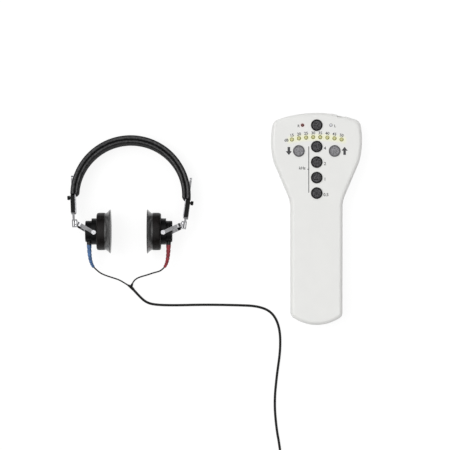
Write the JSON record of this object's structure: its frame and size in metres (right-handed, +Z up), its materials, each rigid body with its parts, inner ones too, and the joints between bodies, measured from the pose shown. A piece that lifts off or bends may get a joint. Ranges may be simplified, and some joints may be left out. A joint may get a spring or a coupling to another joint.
{
  "type": "audiometer",
  "caption": "Handheld screening audiometer with push buttons and level lights, and a headset with two swivelling earphones on a padded band.",
  "frame": {"origin": "middle of the control unit's flat back, on the surface it lies on", "axes": "+Z up out of the unit's face, +Y towards the unit's head, +X to the right seen from above"},
  "size_m": [0.345, 0.4524, 0.0517],
  "materials": {
    "case_plastic": "fine matt texture",
    "key_black": "fine matt texture",
    "key_grey": "fine matt texture",
    "led_green": "translucent",
    "led_red": "translucent",
    "led_blue": "translucent",
    "board_green": "solder mask",
    "inner_black_plastic": "moulded",
    "screw_steel": "plated",
    "cell_metal": "plain sleeve",
    "band_leather": "black leatherette",
    "spring_steel": "hardened strip",
    "headset_black_plastic": "satin",
    "chrome": "polished",
    "driver_steel": "plain",
    "cushion_rubber": "soft satin",
    "relief_blue": "satin",
    "relief_red": "satin",
    "cord_black": "satin sheath",
    "plug_metal": "nickel plated"
  },
  "bodies": {
    "control_unit": {"front_housing": "case_plastic", "rear_housing": "case_plastic", "circuit_board": "board_green", "tact_switches": "inner_black_plastic", "level_leds": "led_green", "ear_led_red": "led_red", "ear_led_blue": "led_blue", "headset_jack": "inner_black_plastic", "case_screws": "screw_steel", "board_screws": "screw_steel", "batteries": "cell_metal", "battery_contacts": "screw_steel"},
    "headset_frame": {"headband_cover": "band_leather", "headband_pad": "band_leather", "headband_spring": "spring_steel", "slide_block_left": "headset_black_plastic", "slide_block_right": "headset_black_plastic", "cord_leg_left": "cord_black", "cord_leg_right": "cord_black", "cord_splitter": "cord_black", "cord_main": "cord_black", "cord_coil": "cord_black", "coil_tie": "cord_black", "cord_tail": "cord_black", "plug_body": "cord_black", "plug_pin": "plug_metal"},
    "battery_door": {"battery_cover": "case_plastic"},
    "button_ear": {"button_ear": "key_black"},
    "button_4khz": {"button_4khz": "key_black"},
    "button_2khz": {"button_2khz": "key_black"},
    "button_1khz": {"button_1khz": "key_black"},
    "button_500hz": {"button_500hz": "key_black"},
    "button_level_down": {"button_level_down": "key_grey"},
    "button_level_up": {"button_level_up": "key_grey"},
    "slider_left": {"slide_bar_left": "chrome"},
    "knob_left": {"clamp_knob_left": "headset_black_plastic"},
    "fork_left": {"yoke_left": "chrome"},
    "earphone_left": {"earphone_case_left": "headset_black_plastic", "earphone_cap_left": "headset_black_plastic", "ear_grille_left": "headset_black_plastic", "earphone_driver_left": "driver_steel", "ear_cushion_left": "cushion_rubber", "strain_relief_left": "relief_blue", "pivot_screws_left": "screw_steel"},
    "slider_right": {"slide_bar_right": "chrome"},
    "knob_right": {"clamp_knob_right": "headset_black_plastic"},
    "fork_right": {"yoke_right": "chrome"},
    "earphone_right": {"earphone_case_right": "headset_black_plastic", "earphone_cap_right": "headset_black_plastic", "ear_grille_right": "headset_black_plastic", "earphone_driver_right": "driver_steel", "ear_cushion_right": "cushion_rubber", "strain_relief_right": "relief_red", "pivot_screws_right": "screw_steel"}
  },
  "joints": [
    {"name": "headset_lift", "type": "slide", "parent": "control_unit", "child": "headset_frame", "axis": [0, 0, 1], "range_m": [0, 0.1]},
    {"name": "slide_right", "type": "slide", "parent": "headset_frame", "child": "slider_right", "axis": [0.1305, 0.9846, -0.116], "range_m": [-0.02773, 0.00377], "deforming": ["cord_leg_right"]},
    {"name": "clamp_right", "type": "hinge", "parent": "headset_frame", "child": "knob_right", "pos_m": [-0.15068, 0.01895, 0.02189], "axis": [0.9914, -0.1296, 0.0153], "range_deg": [0, 180]},
    {"name": "swivel_right", "type": "hinge", "parent": "slider_right", "child": "fork_right", "pos_m": [-0.15659, -0.00734, 0.02498], "axis": [0.1305, 0.9846, -0.116], "range_deg": [-25, 25], "deforming": ["cord_leg_right"]},
    {"name": "tilt_right", "type": "hinge", "parent": "fork_right", "child": "earphone_right", "pos_m": [-0.17907, -0.01788, 0.02622], "axis": [0, 0.117, 0.9931], "range_deg": [-17.5, 12.5], "deforming": ["cord_leg_right"]},
    {"name": "slide_left", "type": "slide", "parent": "headset_frame", "child": "slider_left", "axis": [-0.0436, 0.9922, -0.1168], "range_m": [-0.02419, 0.00731], "deforming": ["cord_leg_left"]},
    {"name": "clamp_left", "type": "hinge", "parent": "headset_frame", "child": "knob_left", "pos_m": [-0.28513, 0.02478, 0.0212], "axis": [-0.999, -0.0433, 0.0051], "range_deg": [0, 180]},
    {"name": "swivel_left", "type": "hinge", "parent": "slider_left", "child": "fork_left", "pos_m": [-0.2814, -0.00543, 0.02476], "axis": [-0.0436, 0.9922, -0.1168], "range_deg": [-25, 25], "deforming": ["cord_leg_left"]},
    {"name": "tilt_left", "type": "hinge", "parent": "fork_left", "child": "earphone_left", "pos_m": [-0.25994, -0.01788, 0.02622], "axis": [0, 0.117, 0.9931], "range_deg": [-17.5, 12.5], "deforming": ["cord_leg_left"]},
    {"name": "press_ear", "type": "slide", "parent": "control_unit", "child": "button_ear", "axis": [0, 0, -1], "range_m": [0, 0.001], "stiffness_N_per_m": 600, "springref_m": -0.0005},
    {"name": "press_4khz", "type": "slide", "parent": "control_unit", "child": "button_4khz", "axis": [0, 0, -1], "range_m": [0, 0.001], "stiffness_N_per_m": 600, "springref_m": -0.0005},
    {"name": "press_2khz", "type": "slide", "parent": "control_unit", "child": "button_2khz", "axis": [0, 0, -1], "range_m": [0, 0.001], "stiffness_N_per_m": 600, "springref_m": -0.0005},
    {"name": "press_1khz", "type": "slide", "parent": "control_unit", "child": "button_1khz", "axis": [0, 0, -1], "range_m": [0, 0.001], "stiffness_N_per_m": 600, "springref_m": -0.0005},
    {"name": "press_500hz", "type": "slide", "parent": "control_unit", "child": "button_500hz", "axis": [0, 0, -1], "range_m": [0, 0.001], "stiffness_N_per_m": 600, "springref_m": -0.0005},
    {"name": "press_level_down", "type": "slide", "parent": "control_unit", "child": "button_level_down", "axis": [0, 0, -1], "range_m": [0, 0.001], "stiffness_N_per_m": 600, "springref_m": -0.0005},
    {"name": "press_level_up", "type": "slide", "parent": "control_unit", "child": "button_level_up", "axis": [0, 0, -1], "range_m": [0, 0.001], "stiffness_N_per_m": 600, "springref_m": -0.0005},
    {"name": "battery_cover_slide", "type": "slide", "parent": "control_unit", "child": "battery_door", "axis": [0, -1, 0], "range_m": [0, 0.07]}
  ]
}
